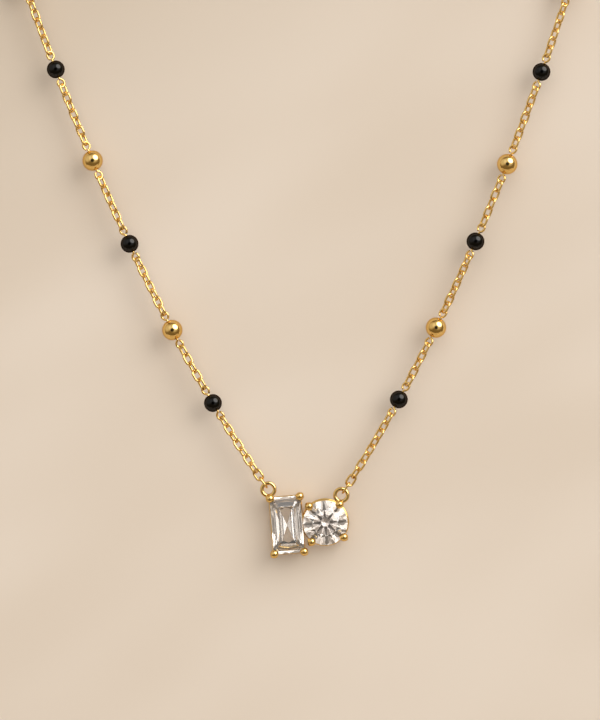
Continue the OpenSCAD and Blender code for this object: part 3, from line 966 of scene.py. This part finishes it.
def ground_stone(name, outline, depths, facets, middle, node, material):
    """Cuts a prism by planes and puts the stone at its place in the pendant."""
    work = bmesh.new()
    rings = [[work.verts.new((x, depth, z)) for x, z in outline] for depth in depths]
    count = len(outline)
    for k in range(count):
        work.faces.new((rings[0][k], rings[0][(k + 1) % count], rings[1][(k + 1) % count], rings[1][k]))
    work.faces.new(rings[0])
    work.faces.new(rings[1])
    for normal, distance in facets:
        everything = work.verts[:] + work.edges[:] + work.faces[:]
        plane = {"plane_co": Vector(normal * distance), "plane_no": Vector(normal)}
        cut = bmesh.ops.bisect_plane(work, geom=everything, dist=CUT_PLAY, clear_outer=True, **plane)
        open_edges = [e for e in cut["geom_cut"] if isinstance(e, bmesh.types.BMEdge)]
        if len(open_edges) > 2:
            bmesh.ops.contextual_create(work, geom=open_edges)
    points = np.array([v.co for v in work.verts])
    order = {v: i for i, v in enumerate(work.verts)}
    faces = [tuple(order[v] for v in f.verts) for f in work.faces]
    work.free()
    print(name, "has", len(faces), "facets")
    form = (points + middle) @ lean, faces
    piece(name, form, material, [node], body="pendant", smooth=False)


brilliant = brilliant_facets()
baguette = step_facets()
round_outline = [
    (ROUND_D / 2 * math.cos(a), ROUND_D / 2 * math.sin(a))
    for a in np.linspace(0, 2 * np.pi, ROUND_SIDES + 1)[:-1]
]
long_outline = [
    (sx * x, sz * z)
    for sx, sz, order in ((1, 1, 1), (-1, 1, -1), (-1, -1, 1), (1, -1, -1))
    for x, _, z in cut_corner(LONG_W, LONG_H, LONG_CORNER, 0)[::order]
]
ground_stone("cut_round_stone", round_outline, (-ROUND_CROWN - GIRDLE, ROUND_PAVILION + GIRDLE),
             brilliant, round_middle, "round_stone", clear_stone)
ground_stone("cut_long_stone", long_outline, (-LONG_CROWN - GIRDLE, LONG_PAVILION + GIRDLE),
             baguette, long_middle, "long_stone", milky_stone)

# %% [markdown]
# ## Soldered setting
# The setting is cast and soldered: wires with a ball at the tip, two rails round each stone and two
# rings, with a little solder running into every joint. Joining cylinders and rings as solids leaves
# hard creases where metal should flow. A distance field doesn't. Each part is a formula for the
# distance to its surface, two parts are blended where they meet, and a mesh is laid where the
# whole is zero.
# %% Distances to simple forms
RAIL_CORNER = 0.25
RAIL_EDGE = 0.09


def to_segment(points, start, end, radius):
    """A rod with round ends."""
    line = np.subtract(end, start)
    along = np.clip((points - start) @ line / (line @ line), 0, 1)
    return np.linalg.norm(points - start - along[:, None] * line, axis=1) - radius


def to_ball(points, middle, radius):
    return np.linalg.norm(points - middle, axis=1) - radius


def to_ring(points, middle, radius, wire):
    """A round wire bent to a circle that faces the front."""
    off = points - middle
    return np.hypot(np.hypot(off[:, 0], off[:, 2]) - radius, off[:, 1]) - wire / 2


def from_corner(across, along):
    """Distance to a quarter plane, less than 0 inside it."""
    outside = np.hypot(np.maximum(across, 0), np.maximum(along, 0))
    return outside + np.minimum(np.maximum(across, along), 0)


def to_rail(points, middle, half_w, half_h, wide, deep):
    """A flat wire with rounded edges bent to a rectangle that faces the front."""
    off = np.abs(points - middle)
    x = off[:, 0] - (half_w - wide / 2 - RAIL_CORNER)
    z = off[:, 2] - (half_h - wide / 2 - RAIL_CORNER)
    outline = from_corner(x, z) - RAIL_CORNER
    a = np.abs(outline) - (wide / 2 - RAIL_EDGE)
    b = off[:, 1] - (deep / 2 - RAIL_EDGE)
    return from_corner(a, b) - RAIL_EDGE


def melted(first, second, fillet):
    """Two distances joined with a fillet of solder."""
    share = np.clip(0.5 + 0.5 * (second - first) / fillet, 0, 1)
    return second + (first - second) * share - fillet * share * (1 - share)


# %% A mesh where a distance field is zero
SLAB = 8
NUDGES = 4
PROBE = 0.02
LEAST_SLOPE = 0.05


def skin(distance, low, high, cell):
    """Points and quads: one point in each cell of a grid that the surface crosses."""
    count = np.ceil((high - low) / cell).astype(int) + 1
    axes = [low[a] + cell * np.arange(count[a]) for a in range(3)]
    slabs = [axes[0][i:i + SLAB] for i in range(0, count[0], SLAB)]
    grids = (np.stack(np.meshgrid(slab, *axes[1:], indexing="ij"), -1) for slab in slabs)
    inside = np.concatenate([distance(grid.reshape(-1, 3)) < 0 for grid in grids]).reshape(count)
    corners = sum(
        inside[i:count[0] - 1 + i, j:count[1] - 1 + j, k:count[2] - 1 + k].astype(np.int8)
        for i in (0, 1) for j in (0, 1) for k in (0, 1)
    )
    crossed = (corners > 0) & (corners < 8)
    number = np.full(crossed.shape, -1)
    number[crossed] = np.arange(crossed.sum())
    points = low + cell * (np.argwhere(crossed) + 0.5)
    for step in range(NUDGES):
        points = points - nudge(distance, points, cell)
    quads = []
    for a in range(3):
        b, c = np.eye(3, dtype=int)[[(a + 1) % 3, (a + 2) % 3]]
        before = inside.take(np.arange(count[a] - 1), a)
        after = inside.take(np.arange(1, count[a]), a)
        edge = np.argwhere(before != after)
        quad = np.stack([number[tuple((edge - off).T)] for off in (b + c, c, 0 * b, b)], 1)
        outward = before[tuple(edge.T)]
        quads.append(np.where(outward[:, None], quad, quad[:, ::-1]))
    return points, np.concatenate(quads).tolist()


def nudge(distance, points, cell):
    """The step from each point to the surface, no longer than half a cell."""
    small = cell * PROBE
    here = distance(points)
    slope = np.stack([distance(points + small * e) - here for e in np.eye(3)], 1) / small
    step = slope * (here / np.maximum((slope**2).sum(1), LEAST_SLOPE))[:, None]
    length = np.linalg.norm(step, axis=1, keepdims=True)
    return step * np.minimum(1, cell / 2 / np.maximum(length, TINY))


# %% Claws and rails round each stone
CLAW = 0.5
CLAW_LEAN = math.radians(7)
BALL = 0.92
BALL_OUT = 0.11
SEAT_GAP = 0.03
RAIL_SHOW = 0.095
RAIL = 0.28
RAIL_DEEP = 0.4
BASE_BACK = 2.05
ROUND_CLAWS = (48, 130, 229, 318)
SOLDER = 0.11
TIP_FILLET = 0.05
claw_clear = (CLAW / 2 + SEAT_GAP) / math.cos(CLAW_LEAN)


def claw_out(depth):
    """How far outside the stone's edge a claw's middle line is, at a depth behind the girdle."""
    return claw_clear + (GIRDLE / 2 - depth) * math.tan(CLAW_LEAN)


def ball_front(crown_slope):
    """How far in front of the girdle a claw's ball lies, so that it rests on the crown."""
    rest = BALL / 2 + SEAT_GAP - BALL_OUT * math.sin(crown_slope)
    return GIRDLE / 2 + rest / math.cos(crown_slope)


def claw(points, foot, way, crown_slope):
    """A leaning wire with a ball at its tip, beside a stone's edge."""
    front = ball_front(crown_slope)

    def at(out, depth):
        return foot[0] + out * way[0], depth, foot[2] + out * way[1]

    wire = to_segment(points, at(claw_out(-front), -front), at(claw_out(BASE_BACK), BASE_BACK), CLAW / 2)
    return melted(wire, to_ball(points, at(BALL_OUT, -front), BALL / 2), TIP_FILLET)


# %% The whole setting
RING = 1.83
RING_WIRE = 0.42
RING_RISE = 0.9
RING_SIDE_LEAN = 12
GRID = 0.05
MARGIN = 4 * GRID
DIAGONAL = 0.7071
BASE_OUT = 0.06
CROWN_STEP_IN, STEP_CORNER, CROWN_STEP_UP = LONG_CROWN_STEPS[1]
SEAT_SLOPE = 1.08
long_slope = math.atan(
    CROWN_STEP_UP / (2 * CROWN_STEP_IN - (LONG_CORNER - STEP_CORNER)) * math.sqrt(2)
)
round_slope = math.atan(2 * ROUND_CROWN / (ROUND_D - ROUND_TABLE))
round_back = math.atan(2 * ROUND_PAVILION / ROUND_D)
corner_x, corner_z = (LONG_W - LONG_CORNER) / 2, (LONG_H - LONG_CORNER) / 2
between = np.array([(long_high[0] + round_low[0]) / 2, -GIRDLE_FRONT, long_middle[2]])
long_at, round_at = long_middle - between, round_middle - between
stones = [
    (np.array([n for n, d in planes]), np.array([d + n @ at for n, d in planes]))
    for planes, at in ((brilliant, round_at), (baguette, long_at))
]


def around_long(points):
    claws = [
        claw(points, long_at + [sx * corner_x, 0, sz * corner_z], (sx * DIAGONAL, sz * DIAGONAL), long_slope)
        for sx, sz in CORNERS
    ]
    seat = GIRDLE / 2 + (RAIL - RAIL_SHOW + SEAT_GAP) * SEAT_SLOPE
    base = claw_out(BASE_BACK) * DIAGONAL + BASE_OUT
    upper = to_rail(points, long_at + [0, seat + RAIL_DEEP / 2, 0],
                    LONG_W / 2 + RAIL_SHOW, LONG_H / 2 + RAIL_SHOW, RAIL, RAIL_DEEP)
    lower = to_rail(points, long_at + [0, BASE_BACK, 0], corner_x + base, corner_z + base, RAIL, RAIL_DEEP)
    return claws + [upper, lower]


def around_round(points):
    claws = []
    for degrees in ROUND_CLAWS:
        way = cosine(degrees), sine(degrees)
        foot = round_at + [ROUND_D / 2 * way[0], 0, ROUND_D / 2 * way[1]]
        claws.append(claw(points, foot, way, round_slope))
    seat = (GIRDLE / 2 + (RAIL / 2 + SEAT_GAP) / math.cos(round_back)
            + (RAIL / 2 - RAIL_SHOW) * math.tan(round_back))
    upper = to_ring(points, round_at + [0, seat, 0], ROUND_D / 2 + RAIL_SHOW - RAIL / 2, RAIL)
    lower = to_ring(points, round_at + [0, BASE_BACK, 0], ROUND_D / 2 + claw_out(BASE_BACK), RAIL)
    return claws + [upper, lower]


def hanging_rings(points):
    out = claw_out(GIRDLE_FRONT)
    left_claw = long_at + np.array([-corner_x - out * DIAGONAL, 0, corner_z + out * DIAGONAL])
    way = cosine(ROUND_CLAWS[0]), sine(ROUND_CLAWS[0])
    right_claw = round_at + (ROUND_D / 2 + out) * np.array([way[0], 0, way[1]])
    left_ring = left_claw + [0, GIRDLE_FRONT, RING_RISE]
    side_lean = [RING_RISE * sine(RING_SIDE_LEAN), GIRDLE_FRONT, RING_RISE * cosine(RING_SIDE_LEAN)]
    middles = (left_ring, right_claw + side_lean)
    return [to_ring(points, middle, (RING - RING_WIRE) / 2, RING_WIRE) for middle in middles]


def setting_distance(points):
    """Distance to the setting, in the pendant's own frame with the point between the stones as 0."""
    forms = around_long(points) + around_round(points) + hanging_rings(points)
    metal = forms[0]
    for form in forms[1:]:
        metal = melted(metal, form, SOLDER)
    near = metal < MARGIN
    for normals, offsets in stones:
        stone = (points[near] @ normals.T - offsets).max(1)
        metal[near] = np.maximum(metal[near], SEAT_GAP - stone)
    return metal


setting_low, setting_high = leaned_box("setting")
points, faces = skin(setting_distance, setting_low - between - MARGIN, setting_high - between + MARGIN, GRID)
form = (points + between) @ lean, faces
piece("soldered_setting", form, cast_gold, ["setting"], body="pendant")

# %% [markdown]
# ## Clasp
# The clasp lies at the nape: a hollow ring with a small thumb nub, a soldered eye that takes the
# left chain, and a plain ring that the clasp closes on. It is out of the picture, so it is kept
# plain. The same distance field gives it soft joints.
# %% Clasp and its ring
CLASP_TUBE = 1
NECK_ROUND = 50
EYE = 1.7
EYE_WIRE = 0.4
EYE_FILLET = 0.15
NECK_FILLET = 0.2
NUB = 0.5
NUB_OUT = 1.15
NUB_WAY = np.array([sine(60), 0, cosine(60)])
CLASP_MARGIN = 0.3
CLASP_GRID = 0.07
TAB_RING = 3
TAB_WIRE = 0.45
TAB_STEP = 7.5

clasp_low, clasp_high = (np.array(corner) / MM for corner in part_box("clasp"))
clasp_r = clasp_high[2] - CLASP_TUBE / 2
eye_x = clasp_low[0] + EYE / 2
eye_at = np.array([eye_x, 0, -eye_x**2 / (2 * NECK_ROUND)])


def clasp_distance(points):
    body = to_ring(points, (0, 0, 0), clasp_r, CLASP_TUBE)
    eye = to_ring(points, eye_at, (EYE - EYE_WIRE) / 2, EYE_WIRE)
    neck = to_segment(points, (-clasp_r, 0, 0), eye_at + [(EYE - EYE_WIRE) / 2, 0, 0], NUB / 2)
    nub = to_segment(points, clasp_r * NUB_WAY, (clasp_r + NUB_OUT) * NUB_WAY, NUB / 2)
    with_eye = melted(melted(body, neck, NECK_FILLET), eye, EYE_FILLET)
    return melted(with_eye, nub, EYE_FILLET)


form = skin(clasp_distance, clasp_low - CLASP_MARGIN, clasp_high + CLASP_MARGIN, CLASP_GRID)
piece("ring_clasp", form, cast_gold, ["clasp"])

tab_low, tab_high = (np.array(corner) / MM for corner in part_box("clasp_tab_ring"))
tab_at = (tab_low + tab_high) / 2
tab_turns = np.radians(np.arange(0, 360, TAB_STEP))
tab_r = (TAB_RING - TAB_WIRE) / 2
tab_path = np.stack([tab_r * np.sin(tab_turns), tab_r * np.cos(tab_turns)], 1)
tab_ways = rolled(upright(np.array([-NECK_ROUND - tab_at[2], 0, tab_at[0]])), 90)
form = copies(tube(tab_path, TAB_WIRE, WIRE_SIDES, True), [(tab_at, tab_ways)])
piece("tab_ring", form, cast_gold, ["clasp_tab_ring"])
